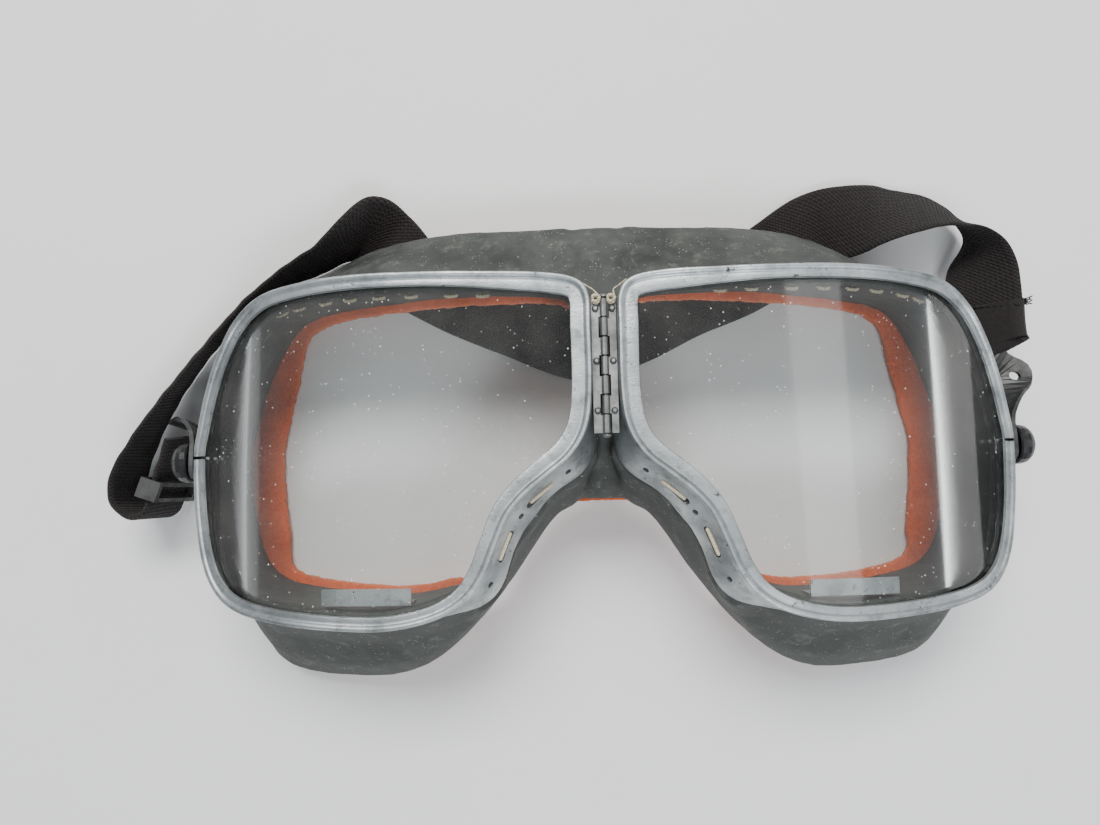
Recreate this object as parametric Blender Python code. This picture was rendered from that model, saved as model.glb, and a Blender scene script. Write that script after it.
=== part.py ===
"""Split-lens safety goggles, lying on their face seal with the lenses up.

Metres, +Z up, +X to the right half, +Y to the forehead. The goggles' own dimensions are in
millimetres from the middle of the nose hinge, and MM turns them into metres.
"""

import bpy
import bmesh
import math
from mathutils import Matrix, Vector

MM = 0.001

# Where the nose hinge stands over the middle of the whole object's footprint.
HINGE_X = 7.10
HINGE_Y = -8.15

# Overall heights.
FRONT_Z = 42.0          # flat front of the rims over the table
TEMPLE_DROP = 13.0      # how far the rims curve back at the temples
BEND_START = 25.0
BEND_LENGTH = 60.0
ARCH_HEIGHT = 15.5      # the seal is raised over the bridge of the nose
ARCH_HALF = 74.0

# Rim.
WALL_HEIGHT = 9.0
SHEET = 0.8             # thickness of the pressed sheet
RING_NOSE = 3.7         # width of the flat front ring on the nose side
RING_TEMPLE = 2.5
NOSE_FLARE = 4.2
WALL_FLARE = 0.4
SPLIT_Y = 0.8
SPLIT_WIDTH = 0.6

# Lens, seal and lining.
GAP = 0.35
LENS_TOP = 1.3          # below the front of the ring
LENS_THICK = 1.2
SEAL_TOP = LENS_TOP + LENS_THICK + GAP
SEAL_WALL = 2.1
EDGE_HEIGHT = 4.0       # rolled outer edge of the seal
EDGE_ROUND = 1.2
FELT_THICK = 2.4
BRIDGE_HALF = 3.3

# Nose hinge.
AXIS_Z = 40.6
HINGE_LOW = 3.4
HINGE_HIGH = 30.2
KNUCKLES = 7
KNUCKLE_R = 0.75
BORE_R = 0.5
PIN_R = 0.32
ROOM_HALF = KNUCKLE_R + GAP
LEAF_X = (0.25, 2.45)
LEAF_Z = (39.4, 40.2)
RIVET_X = 1.65
RIVET_Y = (28.0, 17.6, 7.8)
RIVET_HEAD_R = 0.7
RIVET_SHANK_R = 0.3
RIVET_TAIL_R = 0.6

# Temple fittings.
KNOB_X = 87.2
KNOB_Y = 0.0
KNOB_Z = 24.4
KNOB_R = 4.2
KNOB_LENGTH = 4.2
KNOB_RIM = 1.3           # straight edge under the dome
KNOB_BORE = 2.6
SCREW_R = 0.8
HEAD_R = 1.7
HEAD_THICK = 0.5
HEAD_X = 82.95
SCREW_LENGTH = 6.4
HOOK_THICK = 0.9

# Strap.
STRAP_WIDTH = 18.0
STRAP_THICK = 1.4

# Each rib of the right half: a point of the rim's outline, and the point of the seal's outer edge
# that stands outside it. The ribs run anticlockwise from the temple.
RIBS = [
    ((85.0, 0.8), (84.4, 1.5)), ((84.0, 6.5), (83.4, 8.0)), ((82.0, 14.0), (81.3, 16.0)),
    ((79.2, 21.2), (78.0, 24.5)), ((75.0, 28.0), (73.7, 32.6)), ((69.0, 32.6), (68.3, 39.2)),
    ((60.5, 34.5), (61.0, 45.2)), ((50.0, 35.4), (51.0, 49.6)), ((37.0, 35.6), (38.0, 51.2)),
    ((24.0, 35.4), (24.0, 50.8)), ((12.0, 34.9), (12.0, 50.2)), ((5.6, 33.6), (4.2, 49.8)),
    ((3.2, 30.4), (3.6, 43.0)), ((3.0, 24.0), (3.6, 28.0)), ((3.0, 12.0), (3.6, 14.0)),
    ((4.1, 4.5), (3.6, 3.0)), ((7.2, -0.8), (3.9, -8.6)), ((12.0, -4.8), (9.4, -12.2)),
    ((16.2, -8.2), (13.6, -17.4)), ((19.6, -12.2), (17.6, -23.4)), ((22.0, -17.5), (21.4, -28.6)),
    ((24.4, -23.2), (26.0, -34.2)), ((27.8, -27.8), (32.2, -40.2)), ((33.6, -31.2), (39.2, -45.4)),
    ((42.5, -33.1), (47.0, -48.0)), ((53.5, -33.0), (56.0, -48.4)), ((66.0, -31.7), (67.0, -47.4)),
    ((74.3, -29.6), (74.0, -44.0)), ((79.2, -26.0), (78.0, -37.0)), ((82.4, -20.0), (81.6, -26.8)),
    ((84.3, -10.5), (83.6, -13.0)),
]
STEPS = 2

# How far the seal's inner edge and the felt's inner edge stand outside the rim's outline, on
# the temple, forehead, nose and cheek sides.
RUBBER_EDGE = (-3.6, 0.9, -2.0, -3.4)
FELT_EDGE = (-10.5, -0.6, -3.2, -4.8)

# The strap's route: centre line, then the direction across its width.
STRAP_RIGHT = [
    ((88.0, 23.6, 13.4), (-0.66, 0.0, -0.75)), ((89.0, 33.6, 12.4), (-0.56, 0.15, -0.81)),
    ((89.4, 42.6, 11.4), (-0.4, 0.17, -0.9)), ((88.0, 50.6, 11.0), (0.24, 0.26, -0.94)),
    ((80.5, 55.4, 10.2), (0.2, 0.6, -0.77)), ((71.2, 56.0, 8.6), (0.07, 0.82, -0.56)),
    ((62.8, 55.6, 5.0), (-0.08, 0.97, -0.12)), ((54.4, 54.4, 1.7), (-0.33, 0.94, 0.06)),
    ((46.6, 49.4, 1.4), (-0.5, 0.86, 0.02)),
]
STRAP_MIDDLE = [
    ((45.3, 48.6, 1.35), (-0.5, 0.86, 0.02)), ((36.0, 42.8, 1.3), (-0.42, 0.9, 0.0)),
    ((22.0, 37.2, 1.3), (-0.38, 0.92, 0.0)), ((9.5, 31.2, 1.3), (-0.4, 0.92, 0.0)),
    ((-2.5, 27.6, 1.3), (0.06, 1.0, 0.0)), ((-18.5, 33.6, 1.3), (0.42, 0.9, 0.0)),
    ((-32.0, 39.4, 1.3), (0.38, 0.92, 0.0)), ((-44.0, 45.7, 1.3), (0.48, 0.88, 0.02)),
]
STRAP_LEFT = [
    ((-46.5, 47.9, 1.3), (0.46, 0.88, 0.02)), ((-51.3, 53.2, 1.5), (0.38, 0.92, 0.06)),
    ((-55.3, 56.2, 3.9), (0.3, 0.85, 0.38)), ((-59.3, 54.6, 7.9), (0.2, 0.6, 0.76)),
    ((-64.4, 50.1, 9.7), (0.2, 0.2, 0.96)), ((-70.8, 44.0, 9.8), (0.22, 0.0, 0.97)),
    ((-80.0, 37.8, 9.8), (0.27, -0.1, 0.96)), ((-87.4, 30.2, 9.8), (0.28, -0.12, 0.95)),
    ((-96.6, 18.6, 9.7), (0.25, -0.08, 0.96)), ((-103.3, 8.3, 9.6), (0.15, -0.03, 0.99)),
    ((-107.6, -0.8, 9.6), (0.04, 0.0, 1.0)), ((-108.0, -6.8, 9.7), (0.0, 0.0, 1.0)),
    ((-104.6, -11.0, 9.9), (0.0, 0.0, 1.0)), ((-100.4, -10.4, 10.2), (0.0, 0.0, 1.0)),
    ((-98.4, -4.8, 10.5), (0.0, 0.0, 1.0)), ((-96.4, 1.2, 11.0), (0.0, 0.0, 1.0)),
    ((-95.0, 5.4, 11.5), (0.0, 0.0, 1.0)),
]

# Hook plates: centre line, direction across, width. The right one is a twisted plate with a
# lobe, and the left one reaches from its knob to the strap's end.
HOOK_RIGHT = [
    ((86.45, -3.4, 24.4), (0.0, 0.0, 1.0), 3.4), ((86.45, -1.8, 24.4), (0.0, 0.0, 1.0), 6.0),
    ((86.45, 1.8, 24.4), (0.0, 0.0, 1.0), 6.0), ((86.8, 6.0, 24.0), (0.1, 0.0, 0.99), 4.4),
    ((88.8, 10.4, 22.2), (0.6, 0.0, 0.8), 4.6), ((91.0, 13.8, 20.4), (0.9, 0.0, 0.44), 6.4),
    ((91.4, 16.2, 19.2), (0.9, 0.0, 0.44), 6.6), ((90.0, 18.6, 17.0), (0.78, 0.0, 0.62), 5.0),
    ((88.4, 20.0, 14.8), (0.7, 0.0, 0.71), 12.0), ((88.1, 21.6, 13.9), (0.66, 0.0, 0.75), 17.4),
]
HOOK_LEFT = [
    ((-86.45, -3.4, 24.4), (0.0, 0.0, 1.0), 3.4), ((-86.45, -1.8, 24.4), (0.0, 0.0, 1.0), 6.0),
    ((-86.45, 1.8, 24.4), (0.0, 0.0, 1.0), 6.0), ((-86.6, 5.2, 24.2), (0.0, 0.0, 1.0), 5.0),
    ((-88.4, 8.0, 21.6), (0.0, 0.0, 1.0), 5.4), ((-91.2, 8.8, 16.6), (0.0, 0.2, 1.0), 7.0),
    ((-93.6, 8.4, 13.0), (0.0, 0.3, 1.0), 8.0),
]
LOBE_HOLE = (91.2, 15.2)
LOBE_HOLE_R = 1.0

# Adjuster on the left strap, in the strap's own directions.
SLIDER_AT = (-98.6, -5.4, 10.5)
SLIDER_ALONG = (0.33, 0.944, 0.0)
SLIDER_SIZE = (4.6, 4.4, 20.4)      # across the stack, along the strap, over the strap's width
SLIDER_WIRE = 0.8
SLIDER_POST = 0.9
SLIDER_CAP = 1.6


def clear_scene():
    for obj in list(bpy.data.objects):
        bpy.data.objects.remove(obj)


def smooth(value, low, high):
    t = min(1.0, max(0.0, (value - low) / (high - low)))
    return t * t * (3.0 - 2.0 * t)


def front_z(x):
    """Height of the rims' front, which curves back towards the temples."""
    bend = max(0.0, (abs(x) - BEND_START) / BEND_LENGTH)
    return FRONT_Z - TEMPLE_DROP * bend ** 3


def arch_z(x):
    """Height of the lining's face side: flat at the temples, raised over the nose."""
    if abs(x) >= ARCH_HALF:
        return 0.0
    return ARCH_HEIGHT * math.cos(0.5 * math.pi * x / ARCH_HALF) ** 2


def closed_curve(points, steps):
    """A smooth closed curve through the points, with that many steps between two of them."""
    found = []
    count = len(points)
    for i in range(count):
        a, b, c, d = (Vector(points[(i + k) % count]) for k in (-1, 0, 1, 2))
        for k in range(steps):
            t = k / steps
            found.append(
                0.5 * (2 * b + (c - a) * t + (2 * a - 5 * b + 4 * c - d) * t * t
                       + (3 * b - a - 3 * c + d) * t ** 3)
            )
    return found


def open_curve(points, steps):
    """A smooth open curve through the points."""
    found = []
    last = len(points) - 1
    for i in range(last):
        a, b, c, d = (Vector(points[min(last, max(0, i + k))]) for k in (-1, 0, 1, 2))
        for k in range(steps):
            t = k / steps
            found.append(
                0.5 * (2 * b + (c - a) * t + (2 * a - 5 * b + 4 * c - d) * t * t
                       + (3 * b - a - 3 * c + d) * t ** 3)
            )
    found.append(Vector(points[last]))
    return found


def normals(curve):
    """Outward unit normals of a closed anticlockwise curve."""
    found = []
    for i, _ in enumerate(curve):
        along = curve[(i + 1) % len(curve)] - curve[i - 1]
        found.append(Vector((along.y, -along.x)).normalized())
    return found


def by_side(normal, values):
    """A value that depends on which way the rim faces: temple, forehead, nose or cheek."""
    temple, forehead, nose, cheek = values
    across = temple if normal.x > 0 else nose
    upward = forehead if normal.y > 0 else cheek
    return across * normal.x ** 2 + upward * normal.y ** 2


def wall_flare(normal):
    """How far the rim's wall leans out: only beside the nose."""
    towards_nose = normal.dot(Vector((-0.8, -0.6)))
    return WALL_FLARE + NOSE_FLARE * smooth(towards_nose, 0.9, 1.0)


RIM = closed_curve([rib[0] for rib in RIBS], STEPS)
EDGE = closed_curve([rib[1] for rib in RIBS], STEPS)
OUT = normals(RIM)
EDGE_OUT = normals(EDGE)


def new_object(name, mesh):
    obj = bpy.data.objects.new(name, mesh)
    bpy.context.scene.collection.objects.link(obj)
    return obj


def mesh_from(name, verts, faces):
    """A closed mesh in metres with its faces pointing out, from points in millimetres."""
    mesh = bpy.data.meshes.new(name)
    mesh.from_pydata([Vector(v) * MM for v in verts], [], faces)
    work = bmesh.new()
    work.from_mesh(mesh)
    bmesh.ops.recalc_face_normals(work, faces=work.faces)
    work.to_mesh(mesh)
    work.free()
    return new_object(name, mesh)


def loft(name, sections, closed=True, side=1):
    """A solid through cross-sections with equal numbers of points. side -1 mirrors it."""
    count = len(sections)
    size = len(sections[0])
    verts = [(side * p[0], p[1], p[2]) for section in sections for p in section]
    faces = []
    for i in range(count if closed else count - 1):
        near, far = i * size, (i + 1) % count * size
        for k in range(size):
            nxt = (k + 1) % size
            faces.append((near + k, near + nxt, far + nxt, far + k))
    if not closed:
        faces.append(tuple(range(size)))
        faces.append(tuple(range((count - 1) * size, count * size)))
    return mesh_from(name, verts, faces)


def box(name, low, high):
    verts = [(x, y, z) for x in (low[0], high[0]) for y in (low[1], high[1])
             for z in (low[2], high[2])]
    faces = [(0, 1, 3, 2), (4, 6, 7, 5), (0, 4, 5, 1), (2, 3, 7, 6), (0, 2, 6, 4), (1, 5, 7, 3)]
    return mesh_from(name, verts, faces)


def turned(name, profile, start, axis, sides=20):
    """A solid of revolution. profile is (distance along the axis, radius), from pole to pole."""
    axis = Vector(axis).normalized()
    turn = axis.to_track_quat("Z", "Y").to_matrix()
    verts = []
    faces = []
    for along, radius in profile:
        for k in range(sides):
            angle = 2 * math.pi * k / sides
            local = Vector((radius * math.cos(angle), radius * math.sin(angle), along))
            verts.append(Vector(start) + turn @ local)
    for i in range(len(profile) - 1):
        for k in range(sides):
            nxt = (k + 1) % sides
            faces.append((i * sides + k, i * sides + nxt, (i + 1) * sides + nxt,
                          (i + 1) * sides + k))
    faces.append(tuple(range(sides)))
    faces.append(tuple(range((len(profile) - 1) * sides, len(profile) * sides)))
    return mesh_from(name, verts, faces)


def cylinder(name, start, end, radius, sides=16):
    axis = Vector(end) - Vector(start)
    return turned(name, [(0.0, radius), (axis.length, radius)], start, axis, sides)


def combine(obj, other, operation):
    """Applies an exact Boolean and removes the other object."""
    modifier = obj.modifiers.new("boolean", "BOOLEAN")
    modifier.operation = operation
    modifier.solver = "EXACT"
    modifier.object = other
    graph = bpy.context.evaluated_depsgraph_get()
    mesh = bpy.data.meshes.new_from_object(obj.evaluated_get(graph))
    obj.modifiers.clear()
    obj.data = mesh
    bpy.data.objects.remove(other)


def empty(name, at, parent=None):
    obj = new_object(name, None)
    obj.location = Vector(at) * MM
    if parent is not None:
        obj.location = (Vector(at) - Vector(parent["at"])) * MM
        obj.parent = parent
    obj["at"] = list(at)
    return obj


def place(obj, parent, at, material, round_piece=True):
    """Puts the object's origin at a point, under its parent, and gives it its material."""
    obj.data.transform(Matrix.Translation(Vector(at) * -MM))
    obj.parent = parent
    obj.location = (Vector(at) - Vector(parent["at"])) * MM
    obj.data.materials.clear()
    obj.data.materials.append(material)
    if round_piece:
        obj.data.shade_smooth()
        obj.data.set_sharp_from_angle(angle=math.radians(38))
    return obj


def material(name, colour, roughness, metallic=0.0):
    made = bpy.data.materials.new(name)
    made.use_nodes = True
    shader = made.node_tree.nodes["Principled BSDF"]
    shader.inputs["Base Color"].default_value = (*colour, 1.0)
    shader.inputs["Roughness"].default_value = roughness
    shader.inputs["Metallic"].default_value = metallic
    return made


def around(station, outward, height_from_front):
    """A point beside the rim's outline: outward from it, and below the front surface there."""
    point = RIM[station] + OUT[station] * outward
    return (point.x, point.y, front_z(point.x) + height_from_front)


# ---------------------------------------------------------------- rim


def rim_section(i):
    flare = wall_flare(OUT[i])
    ring = RING_TEMPLE + (RING_NOSE - RING_TEMPLE) * (1.0 - smooth(RIM[i].x, 8.0, 36.0))
    foot = front_z(RIM[i].x) - WALL_HEIGHT
    outer = RIM[i] + OUT[i] * flare
    inner = RIM[i] + OUT[i] * (flare - SHEET)
    return [
        around(i, -ring, -0.95), around(i, -ring, -0.2), around(i, 0.5 - ring, 0.0),
        around(i, -1.1, 0.0), around(i, -0.55, 0.45), around(i, 0.05, 0.4),
        around(i, 0.35, -0.4), (outer.x, outer.y, foot), (inner.x, inner.y, foot),
        around(i, -0.45, -0.95),
    ]


def nose_slot(along_rim):
    """Middle and direction of a stitch slot in the nose wall, at a share of the rim's stations."""
    i = round(along_rim * STEPS)
    middle = RIM[i] + OUT[i] * (0.5 * wall_flare(OUT[i]))
    down = Vector((OUT[i].x * NOSE_FLARE, OUT[i].y * NOSE_FLARE, -WALL_HEIGHT)).normalized()
    along = Vector((-OUT[i].y, OUT[i].x, 0.0))
    face = along.cross(down).normalized()
    return Vector((middle.x, middle.y, front_z(middle.x) - 0.5 * WALL_HEIGHT)), along, down, face


SLOT_STATIONS = (17.6, 20.0)
SLOT_LENGTH = 6.6
SLOT_WIDTH = 1.8


def slot_cutter(name, station, side):
    middle, along, down, face = nose_slot(station)
    verts = []
    for a in (-0.5, 0.5):
        for d in (-0.5, 0.5):
            for f in (-2.0, 2.0):
                point = middle + along * (a * SLOT_LENGTH) + down * (d * SLOT_WIDTH) + face * f
                verts.append((side * point.x, point.y, point.z))
    faces = [(0, 1, 3, 2), (4, 6, 7, 5), (0, 4, 5, 1), (2, 3, 7, 6), (0, 2, 6, 4), (1, 5, 7, 3)]
    return mesh_from(name, verts, faces)


def make_rim(name, side):
    rim = loft(name, [rim_section(i) for i in range(len(RIM))], side=side)
    low = min(side * 78.0, side * 92.0)
    split = box("split", (low, SPLIT_Y - SPLIT_WIDTH / 2, 5.0),
                (low + 14.0, SPLIT_Y + SPLIT_WIDTH / 2, 50.0))
    combine(rim, split, "DIFFERENCE")
    hole = cylinder("hole", (side * 80.0, KNOB_Y, KNOB_Z), (side * 90.0, KNOB_Y, KNOB_Z),
                    SCREW_R + GAP)
    combine(rim, hole, "DIFFERENCE")
    for station in SLOT_STATIONS:
        combine(rim, slot_cutter("slot", station, side), "DIFFERENCE")
    return rim


def make_stitch(name, station, side):
    """Thread laid along a slot of the nose wall, a little below the metal."""
    middle, along, _, face = nose_slot(station)
    half = along * (0.5 * SLOT_LENGTH - GAP)
    ends = [middle - half, middle + half]
    start, end = ((side * p.x, p.y, p.z) for p in ends)
    return turned(name, [(0.0, 0.25), (0.3, 0.45), (2 * half.length - 0.3, 0.45),
                         (2 * half.length, 0.25)], start, Vector(end) - Vector(start), 10)


# ---------------------------------------------------------------- lens and clip


def make_lens(name, side):
    """A sheet that follows the rims' curve, filled by rings towards its middle."""
    outline = [RIM[i] + OUT[i] * (-SHEET - GAP) for i in range(len(RIM))]
    centre = Vector((43.0, 2.0))
    verts = []
    faces = []
    shares = (1.0, 0.72, 0.4)
    count = len(outline)
    for depth in (LENS_TOP, LENS_TOP + LENS_THICK):
        for share in shares:
            for point in outline:
                flat = centre + (point - centre) * share
                verts.append((side * flat.x, flat.y, front_z(flat.x) - depth))
        verts.append((side * centre.x, centre.y, front_z(centre.x) - depth))
    layer = count * len(shares) + 1
    for base in (0, layer):
        for ring in range(len(shares) - 1):
            for i in range(count):
                nxt = (i + 1) % count
                a = base + ring * count
                faces.append((a + i, a + nxt, a + count + nxt, a + count + i))
        inner = base + (len(shares) - 1) * count
        for i in range(count):
            faces.append((inner + i, inner + (i + 1) % count, base + layer - 1))
    for i in range(count):
        nxt = (i + 1) % count
        faces.append((i, nxt, layer + nxt, layer + i))
    return mesh_from(name, verts, faces)


CLIP_X = (38.6, 56.4)
CLIP_Y = (-29.0, -25.8)


def make_clip(name, side):
    """A bent spring strip under the lens's lower edge."""
    sections = []
    for k in range(7):
        x = CLIP_X[0] + (CLIP_X[1] - CLIP_X[0]) * k / 6
        top = front_z(x) - LENS_TOP - LENS_THICK - GAP
        outer, inner = CLIP_Y
        sections.append([
            (x, outer, top), (x, inner, top), (x, inner, top - 0.5),
            (x, outer + 0.5, top - 0.5), (x, outer + 0.5, top - 6.0), (x, outer, top - 6.0),
        ])
    return loft(name, sections, closed=False, side=side)


# ---------------------------------------------------------------- seal and lining


def seal_section(i):
    flare = wall_flare(OUT[i])
    felt_top = arch_z(EDGE[i].x) + FELT_THICK + GAP
    foot = front_z(RIM[i].x) - WALL_HEIGHT
    tuck = RIM[i] + OUT[i] * (flare - SHEET - 1.5 * GAP)
    start = RIM[i] + OUT[i] * (flare + 0.5)
    edge = EDGE[i]
    points = [around(i, -SHEET - 1.5 * GAP, -SEAL_TOP), (tuck.x, tuck.y, foot - GAP)]
    start_z = foot - 2 * GAP
    end_z = felt_top + EDGE_HEIGHT
    for share in (0.0, 0.35, 0.7, 1.0):
        flat = start.lerp(edge, smooth(share, -0.1, 1.1))
        if share in (0.0, 1.0):
            flat = start if share == 0.0 else edge
        points.append((flat.x, flat.y, start_z + (end_z - start_z) * share))
    under = edge - EDGE_OUT[i] * EDGE_ROUND
    points.append((edge.x, edge.y, felt_top + EDGE_ROUND))
    points.append((under.x, under.y, felt_top))
    mouth = RIM[i] + OUT[i] * (by_side(OUT[i], RUBBER_EDGE) + flare)
    mouth_top = arch_z(mouth.x) + FELT_THICK + GAP
    inner = RIM[i] + OUT[i] * (flare - SHEET - GAP - SEAL_WALL)
    points.append((mouth.x, mouth.y, mouth_top))
    points.append((mouth.x, mouth.y, mouth_top + SEAL_WALL))
    points.append((inner.x, inner.y, foot))
    points.append(around(i, -SHEET - GAP - SEAL_WALL, -SEAL_TOP))
    return points


def make_seal(name, side):
    seal = loft(name, [seal_section(i) for i in range(len(RIM))], side=side)
    pocket = cylinder("pocket", (side * 76.0, KNOB_Y, KNOB_Z), (side * 90.0, KNOB_Y, KNOB_Z),
                      HEAD_R + GAP, 12)
    combine(seal, pocket, "DIFFERENCE")
    return seal


def lining_section(i):
    flare = wall_flare(OUT[i])
    outer = EDGE[i] - EDGE_OUT[i] * EDGE_ROUND
    inner = RIM[i] + OUT[i] * (by_side(OUT[i], FELT_EDGE) + flare)
    low, high = arch_z(outer.x), arch_z(inner.x)
    return [
        (outer.x, outer.y, low), (outer.x, outer.y, low + FELT_THICK),
        (inner.x, inner.y, high + FELT_THICK), (inner.x, inner.y, high),
    ]


def make_lining(name, side):
    return loft(name, [lining_section(i) for i in range(len(RIM))], side=side)


def make_bridge():
    """The web of the seal under the nose hinge, from the nose arch to the forehead edge."""
    low = ARCH_HEIGHT + FELT_THICK + GAP
    sections = []
    for k in range(13):
        y = -8.0 + (48.6 + 8.0) * k / 12
        crown = 1.2 * math.sin(math.pi * k / 12)
        sections.append([
            (-BRIDGE_HALF, y, low), (BRIDGE_HALF, y, low),
            (BRIDGE_HALF, y, low + EDGE_HEIGHT - 0.6),
            (0.0, y, low + EDGE_HEIGHT + crown), (-BRIDGE_HALF, y, low + EDGE_HEIGHT - 0.6),
        ])
    return loft("seal_bridge", sections, closed=False)


# ---------------------------------------------------------------- nose hinge


def make_leaf(name, side):
    """One hinge leaf: the left one has the knuckles with even numbers, the right one the odd."""
    low, high = sorted(side * x for x in LEAF_X)
    leaf = box(name, (low, HINGE_LOW, LEAF_Z[0]), (high, HINGE_HIGH, LEAF_Z[1]))
    pitch = (HINGE_HIGH - HINGE_LOW) / KNUCKLES
    first = 0 if side < 0 else 1
    for k in range(first, KNUCKLES, 2):
        start = HINGE_LOW + k * pitch
        knuckle = cylinder("knuckle", (0.0, start, AXIS_Z), (0.0, start + pitch - GAP, AXIS_Z),
                           KNUCKLE_R, 12)
        combine(leaf, knuckle, "UNION")
    for k in range(1 - first, KNUCKLES, 2):
        start = HINGE_LOW + k * pitch - GAP
        room = box("room", (-ROOM_HALF, start, 38.0), (ROOM_HALF, start + pitch + GAP, 42.0))
        combine(leaf, room, "DIFFERENCE")
    bore = cylinder("bore", (0.0, 0.0, AXIS_Z), (0.0, 34.0, AXIS_Z), BORE_R, 10)
    combine(leaf, bore, "DIFFERENCE")
    for y in RIVET_Y:
        hole = cylinder("hole", (side * RIVET_X, y, 38.0), (side * RIVET_X, y, 42.0),
                        RIVET_SHANK_R + 0.12, 8)
        combine(leaf, hole, "DIFFERENCE")
    return leaf


def make_pin():
    return turned("hinge_pin", [
        (-0.9, 0.6), (-0.6, 0.95), (-GAP, 0.95), (-GAP, PIN_R),
        (HINGE_HIGH - HINGE_LOW, PIN_R), (HINGE_HIGH - HINGE_LOW, 0.95),
        (HINGE_HIGH - HINGE_LOW + 0.3, 0.95), (HINGE_HIGH - HINGE_LOW + 0.6, 0.6),
    ], (0.0, HINGE_LOW, AXIS_Z), (0.0, 1.0, 0.0), 14)


def make_rivet(name, side, y):
    """A domed head on the leaf, its shank through the leaf, and a flat tail below."""
    top = LEAF_Z[1] + 0.12
    low = LEAF_Z[0] - 0.12
    profile = [(low - 0.5, RIVET_TAIL_R), (low, RIVET_TAIL_R), (low, RIVET_SHANK_R),
               (top, RIVET_SHANK_R),
               (top, RIVET_HEAD_R), (top + 0.3, RIVET_HEAD_R * 0.9), (top + 0.6, RIVET_HEAD_R * 0.5)]
    return turned(name, profile, (side * RIVET_X, y, 0.0), (0.0, 0.0, 1.0), 8)


# ---------------------------------------------------------------- temple fittings


def make_screw(name, side):
    """Its flat head is in a pocket of the seal, behind the rim, and its thread ends in the knob."""
    return turned(name, [(0.0, HEAD_R), (HEAD_THICK, HEAD_R), (HEAD_THICK, SCREW_R),
                         (SCREW_LENGTH, SCREW_R)],
                  (side * HEAD_X, KNOB_Y, KNOB_Z), (side, 0.0, 0.0), 12)


def make_knob(name, side):
    """A domed nut with a blind bore for the screw's thread."""
    bore = SCREW_R + 0.3
    profile = [(KNOB_BORE, 0.2), (KNOB_BORE, bore), (0.0, bore), (0.0, KNOB_R - 0.3),
               (0.3, KNOB_R), (KNOB_RIM, KNOB_R)]
    for k in range(1, 5):
        angle = 0.5 * math.pi * k / 5
        profile.append((KNOB_RIM + (KNOB_LENGTH - KNOB_RIM) * math.sin(angle),
                        KNOB_R * math.cos(angle)))
    profile.append((KNOB_LENGTH, 0.4))
    return turned(name, profile, (side * KNOB_X, KNOB_Y, KNOB_Z), (side, 0.0, 0.0), 18)


def band(name, stations, thickness, steps=3, closed=False):
    """A flat band along a route of (centre, direction across, width)."""
    centres = open_curve([s[0] for s in stations], steps)
    across = open_curve([s[1] for s in stations], steps)
    widths = open_curve([(s[2], 0.0) for s in stations], steps)
    sections = []
    for i, centre in enumerate(centres):
        along = centres[min(i + 1, len(centres) - 1)] - centres[max(i - 1, 0)]
        wide = across[i] - along * (across[i].dot(along) / along.length_squared)
        wide.normalize()
        thin = along.normalized().cross(wide)
        half = wide * (0.5 * widths[i].x)
        rise = thin * (0.5 * thickness)
        sections.append([centre - half - rise, centre + half - rise,
                         centre + half + rise, centre - half + rise])
    return loft(name, sections, closed=closed)


def make_hook(name, stations, side):
    hook = band(name, stations, HOOK_THICK)
    hole = cylinder("hole", (side * 84.0, KNOB_Y, KNOB_Z), (side * 88.5, KNOB_Y, KNOB_Z),
                    SCREW_R + GAP)
    combine(hook, hole, "DIFFERENCE")
    if side > 0:
        lobe = cylinder("lobe", (*LOBE_HOLE, 10.0), (*LOBE_HOLE, 28.0), LOBE_HOLE_R)
        combine(hook, lobe, "DIFFERENCE")
    return hook


def make_strap(name, route):
    return band(name, [(centre, across, STRAP_WIDTH) for centre, across in route], STRAP_THICK)


def slider_box(name, size):
    """A box in the adjuster's own directions."""
    along = Vector(SLIDER_ALONG).normalized()
    up = Vector((0.0, 0.0, 1.0))
    out = along.cross(up)
    verts = []
    for o in (-0.5, 0.5):
        for a in (-0.5, 0.5):
            for u in (-0.5, 0.5):
                verts.append(Vector(SLIDER_AT) + out * (o * size[0]) + along * (a * size[1])
                             + up * (u * size[2]))
    faces = [(0, 1, 3, 2), (4, 6, 7, 5), (0, 4, 5, 1), (2, 3, 7, 6), (0, 2, 6, 4), (1, 5, 7, 3)]
    return mesh_from(name, verts, faces)


def make_slider():
    """A cage around the strap, open along it and with a window in each side."""
    outer = slider_box("slider_frame", SLIDER_SIZE)
    room = slider_box("room", (SLIDER_SIZE[0] - 2 * SLIDER_WIRE, SLIDER_SIZE[1] + 2.0,
                               SLIDER_SIZE[2] - 2 * SLIDER_WIRE))
    combine(outer, room, "DIFFERENCE")
    window = slider_box("window", (SLIDER_SIZE[0] + 2.0, SLIDER_SIZE[1] - 2 * SLIDER_POST,
                                   SLIDER_SIZE[2] - 2 * SLIDER_CAP))
    combine(outer, window, "DIFFERENCE")
    return outer


# ---------------------------------------------------------------- assembly


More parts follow.
